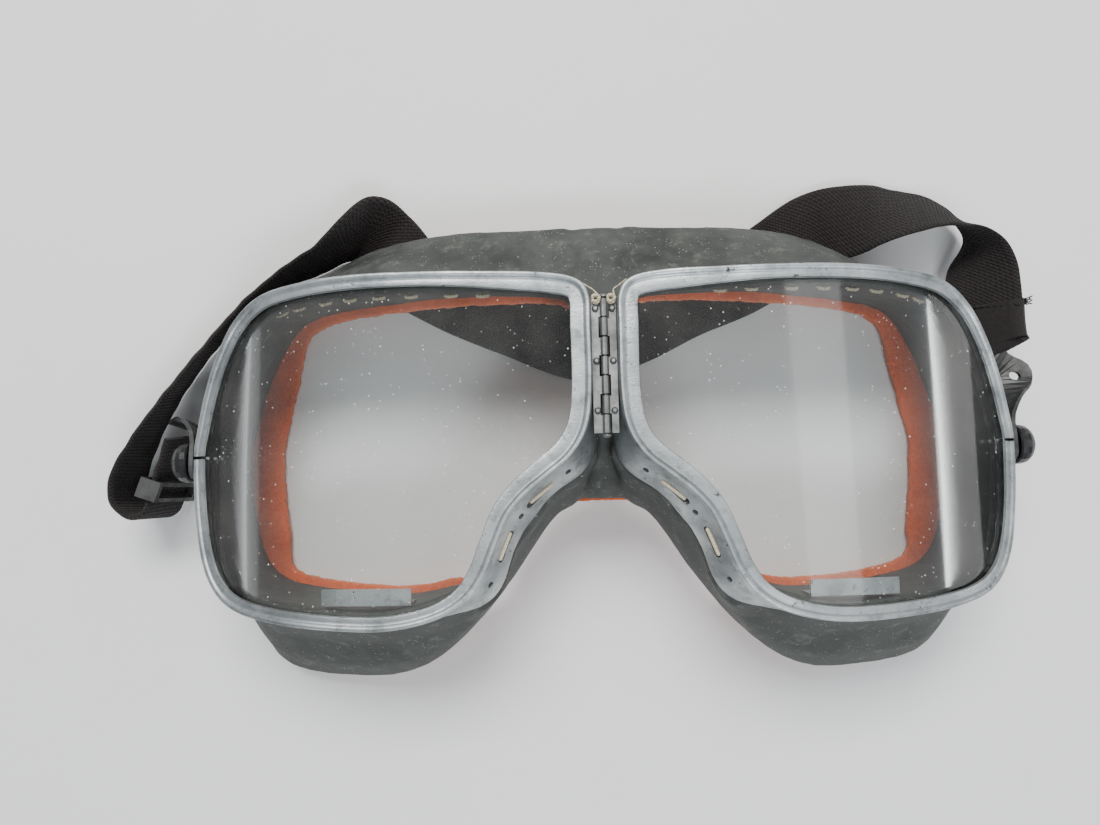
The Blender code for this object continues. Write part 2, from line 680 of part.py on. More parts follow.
def build():
    clear_scene()
    alloy = material("alloy", (0.42, 0.45, 0.47), 0.42, 0.9)
    clear = material("lens_plastic", (0.86, 0.9, 0.9), 0.08)
    steel = material("steel", (0.62, 0.63, 0.64), 0.3, 1.0)
    rubber = material("seal_rubber", (0.075, 0.088, 0.08), 0.78)
    felt = material("felt", (0.62, 0.1, 0.03), 0.95)
    black = material("knob_plastic", (0.015, 0.015, 0.016), 0.4)
    webbing = material("webbing", (0.02, 0.013, 0.012), 0.9)
    thread = material("thread", (0.7, 0.6, 0.4), 0.9)

    assembly = empty("goggles", (0.0, 0.0, 0.0))
    assembly.location = (HINGE_X * MM, HINGE_Y * MM, 0.0)
    axis = (0.0, 0.5 * (HINGE_LOW + HINGE_HIGH), AXIS_Z)
    halves = {"left": (-1, assembly), "right": (1, empty("right_half", axis, assembly))}

    for word, (side, half) in halves.items():
        home = list(half["at"])
        place(make_rim("rim_" + word, side), half, home, alloy)
        place(make_lens("lens_" + word, side), half, home, clear)
        place(make_clip("lens_clip_" + word, side), half, home, steel, False)
        place(make_seal("seal_" + word, side), half, home, rubber)
        place(make_lining("lining_" + word, side), half, home, felt)
        place(make_leaf("hinge_leaf_" + word, side), half, home, alloy)
        for number, y in enumerate(RIVET_Y, 1):
            place(make_rivet(f"rivet_{word}_{number}", side, y), half, home, steel)
        for number, station in enumerate(SLOT_STATIONS, 1):
            place(make_stitch(f"nose_stitch_{word}_{number}", station, side), half, home, thread)
        centre = (side * KNOB_X, KNOB_Y, KNOB_Z)
        place(make_screw("temple_screw_" + word, side), half, home, steel)
        place(make_knob("temple_knob_" + word, side), half, centre, black)
        stations = HOOK_RIGHT if side > 0 else HOOK_LEFT
        place(make_hook("strap_hook_" + word, stations, side), half, centre, steel, False)

    right = halves["right"][1]
    place(make_pin(), assembly, axis, steel)
    place(make_bridge(), assembly, (0.0, 0.0, 0.0), rubber)
    place(make_strap("strap_middle", STRAP_MIDDLE), assembly, (0.0, 0.0, 0.0), webbing)
    place(make_strap("strap_left", STRAP_LEFT), assembly, (0.0, 0.0, 0.0), webbing)
    place(make_strap("strap_right", STRAP_RIGHT), right, list(right["at"]), webbing)
    place(make_slider(), assembly, SLIDER_AT, steel, False)


build()
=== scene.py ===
"""Looks of the split-lens safety goggles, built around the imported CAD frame."""

import math

import bmesh
import bpy
from mathutils import Matrix, Vector, noise


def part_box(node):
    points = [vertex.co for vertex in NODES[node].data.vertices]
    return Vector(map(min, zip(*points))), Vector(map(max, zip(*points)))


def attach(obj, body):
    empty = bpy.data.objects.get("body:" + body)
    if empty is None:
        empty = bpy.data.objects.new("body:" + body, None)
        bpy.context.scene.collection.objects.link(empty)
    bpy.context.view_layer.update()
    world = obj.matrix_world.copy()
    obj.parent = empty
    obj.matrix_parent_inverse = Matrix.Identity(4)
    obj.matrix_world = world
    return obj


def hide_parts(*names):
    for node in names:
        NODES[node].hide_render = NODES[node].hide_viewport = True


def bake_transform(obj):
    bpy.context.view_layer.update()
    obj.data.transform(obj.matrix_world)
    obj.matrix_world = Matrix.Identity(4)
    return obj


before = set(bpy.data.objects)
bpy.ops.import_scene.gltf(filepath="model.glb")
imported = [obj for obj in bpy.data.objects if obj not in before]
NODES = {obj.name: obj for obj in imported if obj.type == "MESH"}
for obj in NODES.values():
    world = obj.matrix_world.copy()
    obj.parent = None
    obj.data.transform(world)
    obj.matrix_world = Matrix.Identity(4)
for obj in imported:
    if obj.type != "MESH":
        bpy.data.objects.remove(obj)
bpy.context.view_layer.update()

MM = 0.001

# The nose hinge's middle on the floor is where the goggles' own dimensions start.
PIN_BELOW_ORIGIN = 2.5 * MM
pin_low, pin_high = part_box("hinge_pin")
ORIGIN = Vector((0.5 * (pin_low.x + pin_high.x), pin_low.y - PIN_BELOW_ORIGIN, 0.0))


def at(x, y, z):
    """A point in metres from millimetres beside the nose hinge."""
    return ORIGIN + Vector((x, y, z)) * MM


# ---------------------------------------------------------------- camera, light, floor

CAMERA_AT = (-10.99, -6.81, 205.5)
CAMERA_TILT = math.radians(5.0)
CAMERA_ROLL = math.radians(-1.3)
SENSOR = 36.0
# A common phone camera: its focal length is 17/22 of its sensor's width.
FOCAL_LENGTH = SENSOR * 17.0 / 22.0


def add_camera():
    """The camera, above the goggles and almost straight down."""
    data = bpy.data.cameras.new("camera")
    data.sensor_width = SENSOR
    data.lens = FOCAL_LENGTH
    data.clip_start = 0.01
    camera = bpy.data.objects.new("camera", data)
    turn = Matrix.Rotation(CAMERA_TILT, 4, "X") @ Matrix.Rotation(CAMERA_ROLL, 4, "Z")
    camera.matrix_world = Matrix.Translation(at(*CAMERA_AT)) @ turn
    bpy.context.scene.collection.objects.link(camera)
    bpy.context.scene.camera = camera


def add_light(name, place, target, size, power, colour=(1.0, 1.0, 1.0)):
    """An area light turned to its target. Its second size lies along the tilt."""
    data = bpy.data.lights.new(name, "AREA")
    data.shape = "RECTANGLE"
    data.size, data.size_y = size
    data.energy = power
    data.color = colour
    light = bpy.data.objects.new(name, data)
    light.location = place
    direction = Vector(target) - Vector(place)
    light.rotation_euler = direction.to_track_quat("-Z", "Y").to_euler()
    bpy.context.scene.collection.objects.link(light)


def add_studio():
    """World, lights and the pale floor."""
    world = bpy.data.worlds.new("studio")
    world.use_nodes = True
    background = world.node_tree.nodes["Background"]
    background.inputs["Color"].default_value = (0.88, 0.94, 1.0, 1.0)
    background.inputs["Strength"].default_value = 0.42
    bpy.context.scene.world = world
    centre = (0.0, 0.0, 0.02)
    add_light("key", (-0.1, 0.62, 1.05), centre, (0.7, 0.35), 19.0, (1.0, 0.98, 0.95))
    add_light("front", (0.2, -0.66, 1.0), centre, (0.5, 0.25), 8.0, (0.92, 0.96, 1.0))
    # Strips that the curved lenses mirror as soft upright bands.
    add_light("strip_high", (0.47, 0.04, 0.95), centre, (0.62, 0.2), 0.8)
    add_light("strip_low", (0.98, 0.03, 0.42), centre, (0.55, 0.3), 1.5)
    add_light("strip_left", (-0.95, 0.03, 0.4), centre, (0.5, 0.3), 0.25)
    bpy.ops.mesh.primitive_plane_add(size=4.0, location=(0.0, 0.0, 0.0))
    floor = bpy.context.object
    floor.name = "floor"
    floor.data.materials.append(floor_material())


# ---------------------------------------------------------------- material nodes


class Paint:
    """A node material that is put together one texture at a time, in object space."""

    def __init__(self, name):
        self.material = bpy.data.materials.new(name)
        self.material.use_nodes = True
        self.tree = self.material.node_tree
        self.shader = self.tree.nodes["Principled BSDF"]
        self.space = self.tree.nodes.new("ShaderNodeTexCoord").outputs["Object"]

    def node(self, kind, **inputs):
        made = self.tree.nodes.new(kind)
        for key, value in inputs.items():
            self.feed(made.inputs[key.replace("_", " ")], value)
        return made

    def feed(self, socket, value):
        if isinstance(value, bpy.types.NodeSocket):
            self.tree.links.new(value, socket)
        else:
            socket.default_value = value

    def set(self, socket, value):
        self.feed(self.shader.inputs[socket], value)

    def stretched(self, scale):
        mapping = self.node("ShaderNodeMapping", Vector=self.space)
        mapping.inputs["Scale"].default_value = scale
        return mapping.outputs["Vector"]

    def noise(self, scale, detail=4.0, rough=0.55, vector=None):
        made = self.node("ShaderNodeTexNoise", Vector=vector or self.space, Scale=scale,
                         Detail=detail, Roughness=rough)
        return made.outputs["Fac"]

    def cells(self, scale, vector=None):
        made = self.node("ShaderNodeTexVoronoi", Vector=vector or self.space, Scale=scale)
        return made.outputs["Distance"]

    def ramp(self, factor, *stops):
        made = self.node("ShaderNodeValToRGB", Fac=factor)
        elements = made.color_ramp.elements
        while len(elements) < len(stops):
            elements.new(0.5)
        for element, (position, value) in zip(elements, stops):
            element.position = position
            colour = value if isinstance(value, tuple) else (value, value, value)
            element.color = (*colour, 1.0)
        return made.outputs["Color"]

    def mix(self, factor, first, second):
        made = self.tree.nodes.new("ShaderNodeMix")
        made.data_type = "RGBA"
        self.feed(made.inputs[0], factor)
        for socket, value in ((made.inputs[6], first), (made.inputs[7], second)):
            self.feed(socket, (*value, 1.0) if isinstance(value, tuple) else value)
        return made.outputs[2]

    def math(self, operation, first, second=0.0):
        made = self.tree.nodes.new("ShaderNodeMath")
        made.operation = operation
        self.feed(made.inputs[0], first)
        self.feed(made.inputs[1], second)
        return made.outputs[0]

    def bump(self, height, depth, strength=1.0):
        made = self.node("ShaderNodeBump", Height=height, Strength=strength, Distance=depth)
        self.set("Normal", made.outputs["Normal"])


def floor_material():
    """Plain matt floor with a trace of grain."""
    paint = Paint("floor")
    paint.set("Base Color", paint.mix(paint.noise(60.0, 5.0), (0.72, 0.72, 0.71), (0.76, 0.76, 0.76)))
    paint.set("Roughness", 0.6)
    paint.bump(paint.noise(700.0, 3.0), 0.0002, 0.3)
    return paint.material


def alloy_material():
    """Pressed light alloy with a dull oxide, dark worn spots and rubbed scratches."""
    paint = Paint("worn_alloy")
    cloud = paint.noise(95.0, 7.0, 0.6)
    colour = paint.ramp(cloud, (0.3, (0.19, 0.21, 0.215)), (0.5, (0.34, 0.365, 0.375)),
                        (0.7, (0.53, 0.555, 0.56)))
    streak = paint.noise(1.0, 6.0, 0.7, paint.stretched((420.0, 2600.0, 900.0)))
    colour = paint.mix(paint.ramp(streak, (0.58, 0.0), (0.72, 0.3)), colour, (0.55, 0.58, 0.6))
    tarnish = paint.ramp(paint.noise(260.0, 8.0, 0.75), (0.52, 0.0), (0.66, 0.65))
    colour = paint.mix(tarnish, colour, (0.12, 0.128, 0.125))
    spots = paint.ramp(paint.noise(620.0, 3.0, 0.7), (0.6, 0.0), (0.68, 1.0))
    patches = paint.ramp(paint.noise(150.0, 4.0, 0.6), (0.48, 0.0), (0.6, 1.0))
    dirt = paint.math("MULTIPLY", spots, patches)
    paint.set("Base Color", paint.mix(dirt, colour, (0.03, 0.03, 0.028)))
    paint.set("Metallic", paint.math("SUBTRACT", 0.86, paint.math("MULTIPLY", dirt, 0.7)))
    rough = paint.ramp(cloud, (0.3, 0.52), (0.7, 0.34))
    paint.set("Roughness", paint.math("ADD", rough, paint.math("MULTIPLY", dirt, 0.3)))
    height = paint.math("ADD", paint.noise(1800.0, 4.0), paint.math("MULTIPLY", streak, 0.7))
    paint.bump(paint.math("SUBTRACT", height, dirt), 0.00008, 0.55)
    return paint.material


def steel_material(name, shade, polish):
    """Old steel sheet with rust in its pores."""
    paint = Paint(name)
    cloud = paint.noise(260.0, 6.0, 0.6)
    rust = paint.ramp(paint.noise(420.0, 6.0, 0.7), (0.6, 0.0), (0.7, 0.6))
    low, high = (tuple(shade * share * tone for tone in (0.97, 1.0, 0.98)) for share in (0.55, 1.0))
    colour = paint.ramp(cloud, (0.35, low), (0.65, high))
    paint.set("Base Color", paint.mix(rust, colour, (0.11, 0.08, 0.06)))
    paint.set("Metallic", paint.math("SUBTRACT", 0.95, rust))
    paint.set("Roughness", paint.ramp(cloud, (0.3, polish + 0.2), (0.7, polish)))
    paint.bump(paint.noise(3200.0, 4.0), 0.00005, 0.5)
    return paint.material


def rubber_material():
    """Old dark grey-green rubber with a pale bloom, rubbed places and dust."""
    paint = Paint("bloomed_rubber")
    base = paint.ramp(paint.noise(55.0, 6.0, 0.6), (0.35, (0.016, 0.0185, 0.0165)),
                      (0.65, (0.036, 0.041, 0.037)))
    bloom = paint.ramp(paint.noise(130.0, 10.0, 0.72), (0.42, 0.0), (0.72, 0.6))
    colour = paint.mix(bloom, base, (0.115, 0.122, 0.11))
    smear = paint.noise(1.0, 5.0, 0.65, paint.stretched((260.0, 90.0, 420.0)))
    colour = paint.mix(paint.ramp(smear, (0.56, 0.0), (0.75, 0.34)), colour, (0.24, 0.25, 0.22))
    specks = paint.ramp(paint.cells(1300.0), (0.1, 0.75), (0.18, 0.0))
    sparse = paint.ramp(paint.noise(380.0, 3.0), (0.47, 0.0), (0.57, 1.0))
    colour = paint.mix(paint.math("MULTIPLY", specks, sparse), colour, (0.5, 0.48, 0.42))
    paint.set("Base Color", colour)
    paint.set("Roughness", paint.ramp(bloom, (0.0, 0.6), (0.6, 0.88)))
    height = paint.math("ADD", paint.noise(900.0, 5.0, 0.7), paint.math("MULTIPLY", bloom, 0.5))
    paint.bump(height, 0.00018, 0.5)
    return paint.material


def felt_material():
    """Orange-red felt: matted fibres, darker where it is dirty."""
    paint = Paint("felt")
    fibres = paint.noise(2600.0, 6.0, 0.75)
    patch = paint.noise(90.0, 5.0)
    colour = paint.ramp(fibres, (0.3, (0.66, 0.075, 0.016)), (0.55, (0.92, 0.15, 0.032)),
                        (0.78, (1.0, 0.34, 0.12)))
    dirt = paint.ramp(patch, (0.5, 0.0), (0.72, 0.55))
    paint.set("Base Color", paint.mix(dirt, colour, (0.34, 0.06, 0.022)))
    paint.set("Roughness", 0.95)
    paint.set("Sheen Weight", 0.6)
    paint.set("Sheen Roughness", 0.5)
    paint.set("Sheen Tint", (1.0, 0.5, 0.3, 1.0))
    paint.bump(paint.math("ADD", fibres, paint.noise(900.0, 5.0, 0.7)), 0.0005, 0.8)
    return paint.material


def webbing_material():
    """Ribbed elastic webbing: ribs along it, a fine weave across, from the band's own UVs."""
    paint = Paint("webbing")
    uv = paint.node("ShaderNodeTexCoord").outputs["UV"]
    split = paint.node("ShaderNodeSeparateXYZ", Vector=uv)
    across = paint.math("SINE", paint.math("MULTIPLY", split.outputs["X"], 2 * math.pi * 15))
    along = paint.math("SINE", paint.math("MULTIPLY", split.outputs["Y"], 2 * math.pi * 1150.0))
    weave = paint.math("MULTIPLY", across, along)
    fluff = paint.noise(1500.0, 5.0, 0.7)
    tone = paint.math("ADD", paint.math("MULTIPLY", weave, 0.22), fluff)
    colour = paint.ramp(tone, (0.35, (0.004, 0.003, 0.003)), (0.6, (0.011, 0.007, 0.0065)),
                        (0.85, (0.034, 0.023, 0.02)))
    lint = paint.ramp(paint.noise(420.0, 8.0, 0.8), (0.66, 0.0), (0.8, 0.35))
    paint.set("Base Color", paint.mix(lint, colour, (0.2, 0.16, 0.13)))
    paint.set("Roughness", 0.92)
    paint.set("Sheen Weight", 0.04)
    paint.bump(paint.math("ADD", weave, paint.math("MULTIPLY", fluff, 0.8)), 0.00022, 0.8)
    return paint.material


def thread_material():
    """Cream waxed thread with fibres along it."""
    paint = Paint("waxed_thread")
    fibres = paint.noise(1.0, 5.0, 0.6, paint.stretched((5200.0, 5200.0, 1700.0)))
    paint.set("Base Color", paint.ramp(fibres, (0.3, (0.36, 0.29, 0.18)), (0.65, (0.76, 0.68, 0.5))))
    paint.set("Roughness", 0.8)
    paint.bump(fibres, 0.0002, 0.8)
    return paint.material


def knob_material():
    """Black moulded plastic with grey dust."""
    paint = Paint("black_plastic")
    dust = paint.ramp(paint.noise(520.0, 8.0, 0.75), (0.55, 0.0), (0.8, 0.5))
    paint.set("Base Color", paint.mix(dust, (0.008, 0.008, 0.009), (0.09, 0.09, 0.085)))
    paint.set("Roughness", paint.ramp(dust, (0.0, 0.32), (0.5, 0.7)))
    paint.bump(paint.noise(1700.0, 4.0), 0.00006, 0.5)
    return paint.material


def lens_material():
    """Clear sheet: it passes light, mirrors by Fresnel, and carries dust and scratches."""
    paint = Paint("dusty_lens")
    tree = paint.tree
    dust = paint.ramp(paint.cells(620.0), (0.06, 0.8), (0.13, 0.0))
    sparse = paint.ramp(paint.noise(230.0, 4.0, 0.7), (0.46, 0.0), (0.62, 1.0))
    specks = paint.math("MULTIPLY", dust, sparse)
    haze = paint.ramp(paint.noise(42.0, 7.0, 0.65), (0.4, 0.004), (0.75, 0.03))
    scratch_space = paint.stretched((95.0, 7.0, 30.0))
    scratch = paint.ramp(paint.noise(13.0, 9.0, 0.85, scratch_space), (0.66, 0.0), (0.72, 0.28))
    cover = paint.math("ADD", paint.math("ADD", specks, haze), scratch)
    paint.set("Base Color", (0.78, 0.76, 0.7, 1.0))
    paint.set("Roughness", 0.5)
    glass = tree.nodes.new("ShaderNodeBsdfTransparent")
    glass.inputs["Color"].default_value = (0.965, 0.975, 0.972, 1.0)
    mirror = tree.nodes.new("ShaderNodeBsdfGlossy")
    mirror.inputs["Roughness"].default_value = 0.06
    fresnel = tree.nodes.new("ShaderNodeFresnel")
    fresnel.inputs["IOR"].default_value = 1.49
    clean = tree.nodes.new("ShaderNodeMixShader")
    tree.links.new(fresnel.outputs[0], clean.inputs[0])
    tree.links.new(glass.outputs[0], clean.inputs[1])
    tree.links.new(mirror.outputs[0], clean.inputs[2])
    dirty = tree.nodes.new("ShaderNodeMixShader")
    tree.links.new(cover, dirty.inputs[0])
    tree.links.new(clean.outputs[0], dirty.inputs[1])
    tree.links.new(paint.shader.outputs[0], dirty.inputs[2])
    tree.links.new(dirty.outputs[0], tree.nodes["Material Output"].inputs["Surface"])
    return paint.material


# ---------------------------------------------------------------- mesh helpers


def finish_mesh(name, verts, faces, material, uvs=None, sharp=50.0):
    """An object from points and faces, shaded smooth up to the sharp angle in degrees."""
    mesh = bpy.data.meshes.new(name)
    mesh.from_pydata([Vector(v) for v in verts], [], faces)
    if uvs is not None:
        layer = mesh.uv_layers.new(name="UVMap")
        for loop in mesh.loops:
            layer.data[loop.index].uv = uvs[loop.vertex_index]
    work = bmesh.new()
    work.from_mesh(mesh)
    bmesh.ops.recalc_face_normals(work, faces=work.faces)
    work.to_mesh(mesh)
    work.free()
    mesh.materials.append(material)
    mesh.shade_smooth()
    mesh.set_sharp_from_angle(angle=math.radians(sharp))
    obj = bpy.data.objects.new(name, mesh)
    bpy.context.scene.collection.objects.link(obj)
    return obj


def loft(name, sections, material, closed=True, uvs=None, sharp=50.0):
    """A closed mesh through cross-sections with equal numbers of points."""
    count, size = len(sections), len(sections[0])
    faces = []
    for i in range(count if closed else count - 1):
        near, far = i * size, (i + 1) % count * size
        for k in range(size):
            nxt = (k + 1) % size
            faces.append((near + k, near + nxt, far + nxt, far + k))
    if not closed:
        faces.append(tuple(range(size)))
        faces.append(tuple(range((count - 1) * size, count * size)))
    verts = [point for section in sections for point in section]
    return finish_mesh(name, verts, faces, material, uvs, sharp)


def smooth_curve(points, steps, closed=False):
    """Catmull-Rom curve through the points."""
    count = len(points)
    found = []
    for i in range(count if closed else count - 1):
        picks = [(i + k) % count if closed else min(count - 1, max(0, i + k)) for k in (-1, 0, 1, 2)]
        a, b, c, d = (Vector(points[p]) for p in picks)
        for k in range(steps):
            t = k / steps
            found.append(0.5 * (2 * b + (c - a) * t + (2 * a - 5 * b + 4 * c - d) * t * t
                                + (3 * b - a - 3 * c + d) * t ** 3))
    if not closed:
        found.append(Vector(points[-1]))
    return found


def applied(obj):
    """Applies the object's modifiers to its mesh."""
    graph = bpy.context.evaluated_depsgraph_get()
    mesh = bpy.data.meshes.new_from_object(obj.evaluated_get(graph))
    obj.modifiers.clear()
    obj.data = mesh
    return obj


def cut(obj, cutter):
    """Takes the cutter out of the object, and removes the cutter."""
    modifier = obj.modifiers.new("cut", "BOOLEAN")
    modifier.solver = "EXACT"
    modifier.object = cutter
    applied(obj)
    bpy.data.objects.remove(cutter)


def block(low, high):
    """Corners and faces of a box between two points in millimetres."""
    verts = [at(x, y, z) for x in (low[0], high[0]) for y in (low[1], high[1])
             for z in (low[2], high[2])]
    return verts, [(0, 1, 3, 2), (4, 6, 7, 5), (0, 4, 5, 1), (2, 3, 7, 6), (0, 2, 6, 4), (1, 5, 7, 3)]


def prism(outline, half):
    """A solid from an outline of (y, z) points in millimetres, as wide as two halves."""
    count = len(outline)
    verts = [at(x, y, z) for x in (-half, half) for y, z in outline]
    faces = [tuple(range(count)), tuple(range(count, 2 * count))]
    faces += [(k, (k + 1) % count, count + (k + 1) % count, count + k) for k in range(count)]
    return verts, faces


def fused(name, nodes, blocks, voxel, smoothing, material):
    """CAD solids and boxes made one mesh by a voxel remesh, then smoothed."""
    work = bmesh.new()
    for node in nodes:
        work.from_mesh(NODES[node].data)
    for verts, faces in blocks:
        made = [work.verts.new(v) for v in verts]
        for face in faces:
            work.faces.new([made[i] for i in face])
    bmesh.ops.remove_doubles(work, verts=work.verts, dist=1e-6)
    bmesh.ops.recalc_face_normals(work, faces=work.faces)
    mesh = bpy.data.meshes.new(name)
    work.to_mesh(mesh)
    work.free()
    obj = bpy.data.objects.new(name, mesh)
    bpy.context.scene.collection.objects.link(obj)
    remesh = obj.modifiers.new("remesh", "REMESH")
    remesh.mode = "VOXEL"
    remesh.voxel_size = voxel
    relax = obj.modifiers.new("relax", "SMOOTH")
    relax.factor = 0.5
    relax.iterations = smoothing
    applied(obj)
    obj.data.materials.clear()
    obj.data.materials.append(material)
    obj.data.shade_smooth()
    return obj


def roughen(obj, layers):
    """Moves each point along its normal by smooth noise. A layer is (size, depth) in metres."""
    mesh = obj.data
    moved = []
    for vertex in mesh.vertices:
        offset = 0.0
        for size, depth in layers:
            offset += depth * noise.noise(vertex.co / size)
        moved.append(vertex.co + vertex.normal * offset)
    for vertex, place in zip(mesh.vertices, moved):
        vertex.co = place
    mesh.update()


# ---------------------------------------------------------------- the rims' outline

# Points of the right rim's outline in millimetres, anticlockwise from the temple.
RIM_POINTS = [
    (85.0, 0.8), (84.0, 6.5), (82.0, 14.0), (79.2, 21.2), (75.0, 28.0), (69.0, 32.6),
    (60.5, 34.5), (50.0, 35.4), (37.0, 35.6), (24.0, 35.4), (12.0, 34.9), (5.6, 33.6),
    (3.2, 30.4), (3.0, 24.0), (3.0, 12.0), (4.1, 4.5), (7.2, -0.8), (12.0, -4.8),
    (16.2, -8.2), (19.6, -12.2), (22.0, -17.5), (24.4, -23.2), (27.8, -27.8), (33.6, -31.2),
    (42.5, -33.1), (53.5, -33.0), (66.0, -31.7), (74.3, -29.6), (79.2, -26.0), (82.4, -20.0),
    (84.3, -10.5),
]
FINE = 8
SHEET = 0.8
WALL_HEIGHT = 9.0
RING_NOSE = 3.7
RING_TEMPLE = 2.5
NOSE_FLARE = 4.2
WALL_FLARE = 0.4
SPLIT_Y = 0.8
SPLIT_WIDTH = 0.6
LENS_TOP = 1.3
LENS_THICK = 1.2
GAP = 0.35
# Places along the outline, counted in its points, and sizes of the openings in the nose wall.
SLOT_STATIONS = (17.6, 20.0)
SLOT_LENGTH = 6.6
SLOT_WIDTH = 1.8
VENT_STATIONS = (16.35, 18.8, 21.3)
VENT_WIDTH = 1.3
SCREW_Z = 24.4
SCREW_HOLE_RADIUS = 1.15
# The rims' front: its height, its fall at the temples, half its flat width and the fall's run.
FRONT_Z = 42.0
TEMPLE_DROP = 13.0
FLAT_HALF = 25.0
BEND_RUN = 60.0
LENS_MIDDLE = Vector((43.0, 2.0, 0.0))
LENS_RINGS = 22


def smooth_step(value, low, high):
    """0 below low, 1 above high, and a smooth ramp between."""
    t = min(1.0, max(0.0, (value - low) / (high - low)))
    return t * t * (3.0 - 2.0 * t)


def front_z(x):
    """Height of the rims' front, flat at the nose and falling to the temples."""
    return FRONT_Z - TEMPLE_DROP * max(0.0, (abs(x) - FLAT_HALF) / BEND_RUN) ** 3


RIM = smooth_curve([(*point, 0.0) for point in RIM_POINTS], FINE, closed=True)


def outward_normals(curve):
    """Unit normals of a closed curve, to its right hand."""
    found = []
    for i in range(len(curve)):
        along = curve[(i + 1) % len(curve)] - curve[i - 1]
        found.append(Vector((along.y, -along.x, 0.0)).normalized())
    return found


OUT = outward_normals(RIM)
# The wall spreads where the rim faces the nose. The spread is evened out along the rim.
NOSE_WAY = Vector((-0.8, -0.6, 0.0))
FLARE = [WALL_FLARE + NOSE_FLARE * smooth_step(n.dot(NOSE_WAY), 0.9, 1.0) for n in OUT]
EVEN_ROUNDS = 4
EVEN_REACH = 3
for _ in range(EVEN_ROUNDS):
    ahead = FLARE[EVEN_REACH:] + FLARE[:EVEN_REACH]
    behind = FLARE[-EVEN_REACH:] + FLARE[:-EVEN_REACH]
    FLARE = [0.25 * b + 0.5 * f + 0.25 * a for b, f, a in zip(behind, FLARE, ahead)]


def half_word(side):
    """The word that ends the names of one half's nodes."""
    return "right" if side > 0 else "left"


# ---------------------------------------------------------------- rims and lenses


def rim_profile(i):
    """(outward, down) points of the pressed sheet: lip, flat ring, crease, bead and wall."""
    ring = RING_TEMPLE + (RING_NOSE - RING_TEMPLE) * (1.0 - smooth_step(RIM[i].x, 8.0, 36.0))
    flare = FLARE[i]
    outer = [(-ring, 0.95), (-ring, 0.3), (0.12 - ring, 0.08), (0.5 - ring, 0.0)]
    outer += [(-1.5, 0.03), (-1.12, 0.06), (-0.9, -0.1), (-0.62, -0.36), (-0.3, -0.45), (0.02, -0.4)]
    outer += [(0.24, -0.12), (0.35, 0.4)]
    for share in (0.15, 0.35, 0.55, 0.75, 0.93):
        outer.append((0.35 + (flare - 0.35) * smooth_step(share, 0.0, 1.0), 0.4 + 8.6 * share))
    outer.append((flare, WALL_HEIGHT))
    inner = [(flare - SHEET, WALL_HEIGHT), (-0.45, 1.6), (-0.6, 0.95)]
    return outer + inner


def make_rim(side, material):
    """The pressed rim, with its temple split, nose slots, vents and screw hole."""
    word = half_word(side)
    sections = []
    for i in range(len(RIM)):
        foot = front_z(RIM[i].x) - WALL_HEIGHT
        section = []
        for outward, down in rim_profile(i):
            point = RIM[i] + OUT[i] * outward
            low = smooth_step(down, 1.0, WALL_HEIGHT)
            z = (front_z(point.x) - down) * (1.0 - low) + (foot + WALL_HEIGHT - down) * low
            section.append(at(side * point.x, point.y, z))
        sections.append(section)
    rim = loft("rim_shell_" + word, sections, material, sharp=42.0)
    low = min(side * 78.0, side * 92.0)
    near, far = SPLIT_Y - SPLIT_WIDTH / 2, SPLIT_Y + SPLIT_WIDTH / 2
    cut(rim, solid_box("split", (low, near, 5), (low + 14, far, 50)))
    for station in SLOT_STATIONS:
        cut(rim, slot_cutter(station, side, SLOT_LENGTH, SLOT_WIDTH))
    for station in VENT_STATIONS:
        cut(rim, slot_cutter(station, side, VENT_WIDTH, VENT_WIDTH))
    ends = [at(side * x, 0, SCREW_Z) for x in (80, 90)]
    cut(rim, rod("hole", *ends, SCREW_HOLE_RADIUS))
    rim.data.shade_smooth()
    rim.data.set_sharp_from_angle(angle=math.radians(42))
    roughen(rim, [(9 * MM, 0.05 * MM)])
    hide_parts("rim_" + word)
    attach(rim, word + "_half")


def nose_slot(station):
    """Middle of the nose wall at a rib number, its direction along the rim, down and out."""
    i = round(station * FINE)
    flare = FLARE[i]
    middle = RIM[i] + OUT[i] * (0.5 * flare)
    along = Vector((-OUT[i].y, OUT[i].x, 0.0))
    down = Vector((OUT[i].x * NOSE_FLARE, OUT[i].y * NOSE_FLARE, -WALL_HEIGHT)).normalized()
    return Vector((middle.x, middle.y, front_z(middle.x) - 0.5 * WALL_HEIGHT)), along, down


def slot_cutter(station, side, length, width):
    """A rounded slot through the nose wall."""
    middle, along, down = nose_slot(station)
    face = along.cross(down).normalized()
    ring = []
    for k in range(16):
        angle = 2 * math.pi * k / 16
        reach = 0.5 * (length - width) * (1 if math.cos(angle) > 0 else -1)
        ring.append((reach + 0.5 * width * math.cos(angle), 0.5 * width * math.sin(angle)))
    sections = []
    for f in (-2.2, 2.2):
        points = [middle + along * a + down * d + face * f for a, d in ring]
        sections.append([at(side * p.x, p.y, p.z) for p in points])
    return loft("cutter", sections, None, closed=False)


def solid_box(name, low, high):
    """A box object between two points in millimetres."""
    verts, faces = block(low, high)
    return finish_mesh(name, verts, faces, None)


def rod(name, start, end, radius, sides=20):
    """A cylinder between two points, with its radius in millimetres."""
    turn = (end - start).to_track_quat("Z", "Y").to_matrix()
    angles = [2 * math.pi * k / sides for k in range(sides)]
    ring = [turn @ Vector((math.cos(angle), math.sin(angle), 0.0)) for angle in angles]
    sections = [[p + r * (radius * MM) for r in ring] for p in (start, end)]
    return loft(name, sections, None, closed=False)


